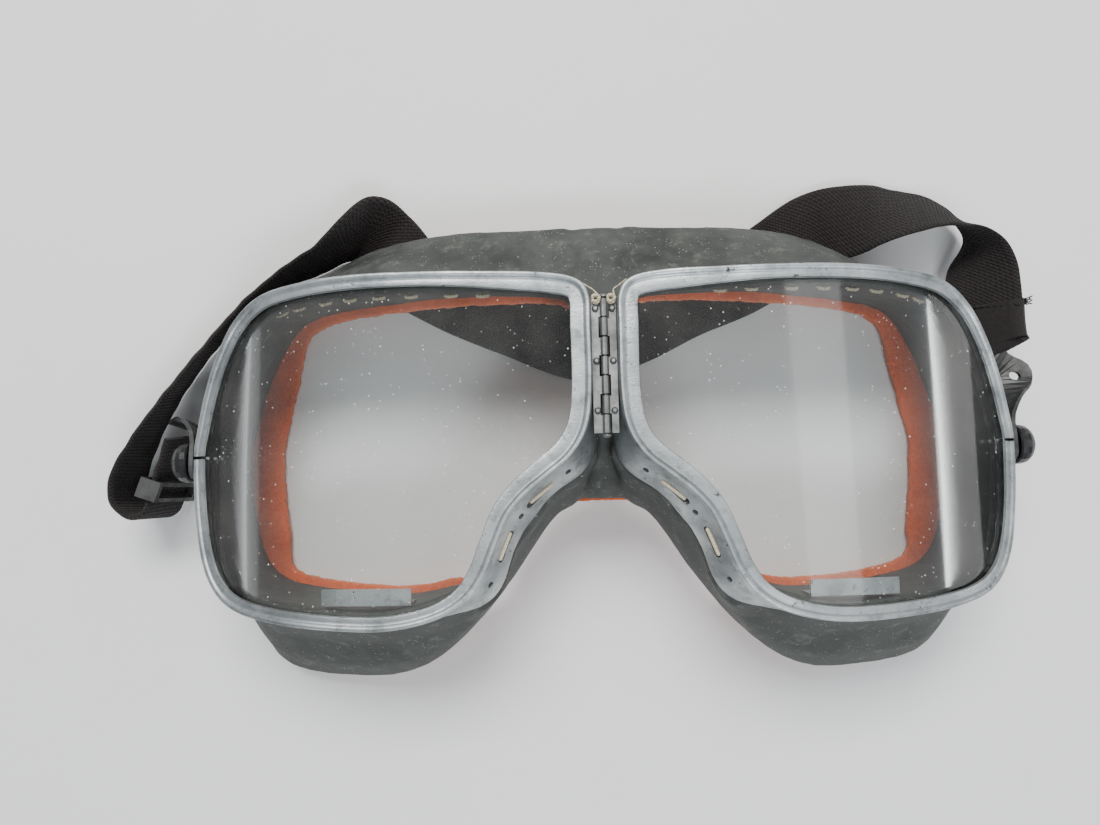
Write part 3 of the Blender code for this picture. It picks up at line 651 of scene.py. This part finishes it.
def make_lens(side, material):
    """The bent clear sheet, as fine rings from its edge to its middle."""
    word = half_word(side)
    outline = [RIM[i] + OUT[i] * (-SHEET - GAP) for i in range(0, len(RIM), 2)]
    sections = []
    for depth in (LENS_TOP, LENS_TOP + LENS_THICK):
        part = []
        for k in range(LENS_RINGS):
            share = 1.0 - k / LENS_RINGS
            part.append([LENS_MIDDLE + (point - LENS_MIDDLE) * share for point in outline])
        sections.append([[at(side * p.x, p.y, front_z(p.x) - depth) for p in ring] for ring in part])
    count = len(outline)
    verts = []
    faces = []
    for layer in sections:
        base = len(verts)
        verts += [p for ring in layer for p in ring]
        for r in range(LENS_RINGS - 1):
            for i in range(count):
                nxt = (i + 1) % count
                a = base + r * count
                faces.append((a + i, a + nxt, a + count + nxt, a + count + i))
        faces.append(tuple(base + (LENS_RINGS - 1) * count + i for i in range(count)))
    lower = LENS_RINGS * count
    for i in range(count):
        nxt = (i + 1) % count
        faces.append((i, nxt, lower + nxt, lower + i))
    lens = finish_mesh("lens_sheet_" + word, verts, faces, material, sharp=40.0)
    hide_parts("lens_" + word)
    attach(lens, word + "_half")


# ---------------------------------------------------------------- threads


def thread(name, points, radius, material, body, sides=8):
    """A twisted thread along a route, in millimetres beside the hinge."""
    curve = smooth_curve(points, 6)
    last = len(curve) - 1
    sections = []
    for i, point in enumerate(curve):
        along = (curve[min(i + 1, last)] - curve[max(i - 1, 0)]).normalized()
        aside = along.cross(Vector((0.31, 0.2, 0.93))).normalized()
        other = along.cross(aside)
        thin = 0.55 if i in (0, last) else 1.0
        ring = []
        for k in range(sides):
            angle = 2 * math.pi * k / sides + 0.7 * i
            bulge = radius * thin * (1.0 + 0.22 * math.cos(2 * (angle - 0.7 * i)))
            away = aside * math.cos(angle) + other * math.sin(angle)
            ring.append(at(*(point + away * bulge)))
        sections.append(ring)
    made = loft(name, sections, material, closed=False, sharp=75.0)
    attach(made, body)
    return made


def join(name, pieces):
    """Several pieces of one body made one mesh."""
    with bpy.context.temp_override(active_object=pieces[0], object=pieces[0], selected_objects=pieces,
                                   selected_editable_objects=pieces):
        bpy.ops.object.join()
    pieces[0].name = name
    return pieces[0]


# ---------------------------------------------------------------- seal and lining


def make_seal(material):
    """One moulding: both cups, and the web that runs between them under the nose hinge."""
    web = prism([(-9.4, 18.2), (50.2, 18.2), (50.4, 20.6), (49.8, 22.6), (46.0, 25.8), (36.5, 31.4),
                 (33.5, 32.2), (4.0, 31.6), (0.0, 28.5), (-8.6, 22.4), (-9.6, 20.6)], 3.9)
    seal = fused("face_seal", ["seal_left", "seal_right", "seal_bridge"], [web], 0.7 * MM, 9, material)
    roughen(seal, [(14 * MM, 0.25 * MM), (3 * MM, 0.07 * MM)])
    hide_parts("seal_left", "seal_right", "seal_bridge")
    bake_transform(seal)


def make_lining(material):
    """The felt that lines both cups, one piece across the nose."""
    strips = [block((-6.5, -10.0, 15.6), (6.5, -6.6, 17.7)), block((-6.5, 43.0, 15.6), (6.5, 48.8, 17.7))]
    lining = fused("face_lining", ["lining_left", "lining_right"], strips, 0.55 * MM, 2, material)
    roughen(lining, [(0.9 * MM, 0.3 * MM), (4 * MM, 0.2 * MM)])
    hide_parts("lining_left", "lining_right")
    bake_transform(lining)


# ---------------------------------------------------------------- strap

STRAP_WIDTH = 18.0
STRAP_THICK = 1.4
STRAP_RIGHT = [
    ((88.0, 23.0, 13.4), (-0.66, 0.0, -0.75)), ((89.0, 33.6, 12.4), (-0.56, 0.15, -0.81)),
    ((89.4, 42.6, 11.4), (-0.4, 0.17, -0.9)), ((88.0, 50.6, 11.0), (0.24, 0.26, -0.94)),
    ((80.5, 55.4, 10.2), (0.2, 0.6, -0.77)), ((71.2, 56.0, 8.6), (0.07, 0.82, -0.56)),
    ((62.8, 55.6, 5.0), (-0.08, 0.97, -0.12)), ((54.4, 54.4, 1.7), (-0.33, 0.94, 0.06)),
    ((46.0, 49.0, 1.4), (-0.5, 0.86, 0.02)),
]
STRAP_MIDDLE = [
    ((46.0, 49.0, 1.4), (-0.5, 0.86, 0.02)), ((36.0, 42.8, 1.3), (-0.42, 0.9, 0.0)),
    ((22.0, 37.2, 1.3), (-0.38, 0.92, 0.0)), ((9.5, 31.2, 1.3), (-0.4, 0.92, 0.0)),
    ((-2.5, 27.6, 1.3), (0.06, 1.0, 0.0)), ((-18.5, 33.6, 1.3), (0.42, 0.9, 0.0)),
    ((-32.0, 39.4, 1.3), (0.38, 0.92, 0.0)), ((-45.4, 46.8, 1.3), (0.47, 0.88, 0.02)),
]
STRAP_LEFT = [
    ((-45.4, 46.8, 1.3), (0.46, 0.88, 0.02)), ((-50.2, 53.2, 1.8), (0.38, 0.92, 0.1)),
    ((-54.2, 55.4, 6.2), (0.24, 0.7, 0.66)), ((-58.0, 52.2, 9.3), (0.16, 0.36, 0.92)),
    ((-63.8, 47.6, 9.8), (0.22, 0.12, 0.97)), ((-70.8, 44.0, 9.8), (0.22, 0.0, 0.97)),
    ((-80.0, 37.8, 9.8), (0.27, -0.1, 0.96)), ((-87.4, 30.2, 9.8), (0.28, -0.12, 0.95)),
    ((-96.6, 18.6, 9.7), (0.25, -0.08, 0.96)), ((-103.3, 8.3, 9.6), (0.15, -0.03, 0.99)),
    ((-107.6, -0.8, 9.6), (0.04, 0.0, 1.0)), ((-108.0, -6.8, 9.7), (0.0, 0.0, 1.0)),
    ((-104.6, -11.0, 9.9), (0.0, 0.0, 1.0)), ((-100.4, -10.4, 10.2), (0.0, 0.0, 1.0)),
    ((-98.6, -5.4, 10.5), (0.0, 0.0, 1.0)),
]
# The strap's way back from the slider to the left hook plate.
STRAP_RETURN = [
    ((-98.75, -5.8, 10.5), (0.0, 0.0, 1.0)), ((-96.4, 1.2, 11.0), (0.0, 0.0, 1.0)),
    ((-94.6, 6.4, 11.6), (0.0, 0.0, 1.0)),
]
RIBS_ACROSS = 15
POINTS_ACROSS = 61
RIB_DEPTH = 0.16


def strap_section(centre, wide, thin):
    """Outline of the webbing: ribbed faces and rounded selvedges. Points and their u."""
    points = []
    shares = []
    for face in (1, -1):
        for k in range(POINTS_ACROSS):
            u = k / (POINTS_ACROSS - 1)
            u = u if face > 0 else 1.0 - u
            edge = min(1.0, min(u, 1.0 - u) * 14.0)
            rib = 0.5 + 0.5 * math.cos(2 * math.pi * RIBS_ACROSS * u)
            half = 0.5 * STRAP_THICK * math.sqrt(max(0.06, 1.0 - (1.0 - edge) ** 2))
            height = half - RIB_DEPTH * (1.0 - rib) * edge
            points.append(centre + wide * ((u - 0.5) * STRAP_WIDTH) + thin * (face * height))
            shares.append(u)
    return points, shares


def make_strap(name, node, route, material, steps=14):
    """Webbing along stations of (middle, direction across). Also returns its length in metres."""
    centres = smooth_curve([c for c, _ in route], steps)
    across = smooth_curve([w for _, w in route], steps)
    sections = []
    uvs = []
    run = 0.0
    last = len(centres) - 1
    for i, centre in enumerate(centres):
        along = centres[min(i + 1, last)] - centres[max(i - 1, 0)]
        wide = across[i] - along * (across[i].dot(along) / along.length_squared)
        wide.normalize()
        thin = along.normalized().cross(wide)
        if i:
            run += (centre - centres[i - 1]).length * MM
        ripple = thin * (0.12 * math.sin(run / MM * 0.9) * math.sin(run / MM * 0.23))
        points, shares = strap_section(centre + ripple, wide, thin)
        sections.append([at(*p) for p in points])
        uvs += [(u, run) for u in shares]
    strap = loft(name, sections, material, closed=False, uvs=uvs)
    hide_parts(node)
    return strap, run


def make_sleeve(name, stations, material, body):
    """The strap's end, turned back over the hook plate and sewn: a flat loop twice as thick."""
    centres = smooth_curve([c for c, _ in stations], 8)
    across = smooth_curve([w for _, w in stations], 8)
    last = len(centres) - 1
    sections = []
    for i, centre in enumerate(centres):
        along = (centres[min(i + 1, last)] - centres[max(i - 1, 0)]).normalized()
        wide = (across[i] - along * across[i].dot(along)).normalized()
        thin = along.cross(wide)
        tip = min(1.0, i / 5.0)
        seam = smooth_step(i / last, 0.86, 1.0)
        half = 1.75 * math.sqrt(max(0.08, 1.0 - (1.0 - tip) ** 2)) - 0.85 * seam
        ring = []
        for face in (1, -1):
            for k in range(31):
                u = k / 30 if face > 0 else 1.0 - k / 30
                edge = min(1.0, min(u, 1.0 - u) * 9.0)
                rib = 0.12 * (0.5 - 0.5 * math.cos(2 * math.pi * RIBS_ACROSS * u)) * edge
                height = half * math.sqrt(max(0.1, 1.0 - (1.0 - edge) ** 2)) - rib
                aside = wide * ((u - 0.5) * (STRAP_WIDTH + 0.5))
                ring.append(at(*(centre + aside + thin * (face * height))))
        sections.append(ring)
    sleeve = loft(name, sections, material, closed=False, sharp=70.0)
    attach(sleeve, body)
    return sleeve


def make_straps(material, yarn):
    """The strap's bands, the sewn fold at its right end, and the fold's seam."""
    right, length = make_strap("strap_right_webbing", "strap_right", STRAP_RIGHT, material)
    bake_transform(right)
    middle, length = make_strap("strap_middle_webbing", "strap_middle", STRAP_MIDDLE, material)
    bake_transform(middle)
    left, length = make_strap("strap_left_webbing", "strap_left", STRAP_LEFT, material)
    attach(left, "left_half")
    back, length = make_strap("strap_return_webbing", "strap_left", STRAP_RETURN, material)
    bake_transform(back)
    make_sleeve("strap_end_fold", [
        ((88.5, 19.6, 14.9), (-0.69, 0.0, -0.72)), ((88.2, 22.0, 13.8), (-0.66, 0.0, -0.75)),
        ((88.3, 27.0, 13.1), (-0.62, 0.06, -0.78)), ((88.9, 32.4, 12.5), (-0.57, 0.13, -0.81)),
    ], material, "hook_right")
    # The seam across the fold, and the loose ends of its thread at the outer selvedge.
    low, high = Vector((83.6, 32.9, 5.6)), Vector((94.2, 31.0, 19.6))
    turns = []
    for k in range(25):
        share = k / 24
        turns.append(low.lerp(high, share) + Vector((-1.3, 0.0, 1.25)) * (0.75 + 0.2 * (k % 2)))
    pieces = [thread("seam", turns, 0.24, yarn, "hook_right")]
    for k in range(9):
        lean = 0.4 * math.sin(2.1 * k)
        start = Vector((94.0, 31.2 + 0.16 * k, 19.2 + lean))
        pieces.append(thread("tuft", [start, start + Vector((1.1, 0.3 * lean, 0.5)),
                                      start + Vector((1.7 + 0.5 * math.cos(k), 1.4 * lean, 0.9 + lean))],
                             0.13, yarn, "hook_right"))
    tuft = join("strap_seam_threads", pieces)


# ---------------------------------------------------------------- small pieces


STITCH_PLACES = (24.0, 31.0, 38.2, 45.0, 51.4, 57.2, 62.4, 66.8)
STITCH_HALF = 1.2
STITCH_RADIUS = 0.34
STITCH_DOWN = 6.2
SEAL_WALL_IN = 2.2
# A stitch lies along the wall and dips into it at both ends: (share of its half, lift).
STITCH_SHAPE = ((-1.0, 0.35), (-0.8, 0.0), (0.0, -0.06), (0.8, 0.0), (1.0, 0.35))


def wall_stitches(side, material):
    """Cream stitches along the top of the seal's inner wall."""
    word = half_word(side)
    pieces = []
    for x in STITCH_PLACES:
        upper = [k for k, point in enumerate(RIM) if point.y > 0]
        i = min(upper, key=lambda k: abs(RIM[k].x - x))
        along = Vector((-OUT[i].y, OUT[i].x, 0.0))
        wall = RIM[i] + OUT[i] * (-SHEET - GAP - SEAL_WALL_IN)
        height = front_z(RIM[i].x) - STITCH_DOWN
        points = []
        for k, lift in STITCH_SHAPE:
            spot = wall + along * (STITCH_HALF * k) + OUT[i] * lift
            points.append(Vector((side * spot.x, spot.y, height + 0.25 * k)))
        pieces.append(thread("stitch", points, STITCH_RADIUS, material, word + "_half"))
    stitches = join("seal_stitches_" + word, pieces)


def hinge_threads(material):
    """The loose wound thread and its knots at the top of the nose hinge."""
    for side, body in ((-1, "left_half"), (1, "right_half")):
        x = side * 1.5
        loops = []
        for k in range(22):
            angle = 0.9 * k
            round_x, round_y = 0.75 * math.cos(angle), 0.7 * math.sin(angle)
            wander = 0.25 * math.sin(2.3 * k)
            loops.append(Vector((x + round_x, 29.5 + round_y + 0.03 * k, 40.9 + 0.03 * k + wander)))
        knot = thread("knot", loops, 0.2, material, body)
        route = [loops[-1]]
        for out, y, z in ((0.5, 31.6, 41.2), (1.6, 32.6, 40.2), (3.4, 34.4, 38.0)):
            route.append(Vector((x + side * out, y, z)))
        tail = thread("tail", route, 0.13, material, body)
        knots = join("hinge_knot_" + half_word(side), [knot, tail])


# The angles from which an edge between two facets is drawn sharp.
NODE_EDGE = math.radians(38)
PLATE_EDGE = math.radians(16)


def dress_nodes(finishes):
    """Gives each CAD node that stays in view the material that its name's start picks."""
    for name, node in NODES.items():
        for start, material in finishes.items():
            if name.startswith(start):
                node.data.materials.clear()
                node.data.materials.append(material)
                node.data.shade_smooth()
                edge = PLATE_EDGE if start == "strap_hook" else NODE_EDGE
                node.data.set_sharp_from_angle(angle=edge)


def main():
    """Materials first, then the pieces of both halves, then the soft goods."""
    alloy = alloy_material()
    steel = steel_material("dull_steel", 0.62, 0.3)
    # Painted shade: the hinge leaves, pin and rivets get a much darker steel, so the nose hinge reads as
    # a recess in shade.
    hinge_shade_steel = steel_material("hinge_painted_shade", 0.27, 0.45)
    plate = steel_material("dark_plate", 0.11, 0.45)
    yarn = thread_material()
    lens = lens_material()
    webbing = webbing_material()
    dress_nodes({
        "hinge_leaf": hinge_shade_steel, "hinge_pin": hinge_shade_steel, "rivet": hinge_shade_steel, "lens_clip": alloy,
        "temple_screw": steel, "strap_hook": plate, "slider": plate,
        "temple_knob": knob_material(), "nose_stitch": yarn,
    })
    for side in (-1, 1):
        make_rim(side, alloy)
        make_lens(side, lens)
        wall_stitches(side, yarn)
    hinge_threads(yarn)
    make_seal(rubber_material())
    make_lining(felt_material())
    make_straps(webbing, webbing)


add_camera()
add_studio()
main()
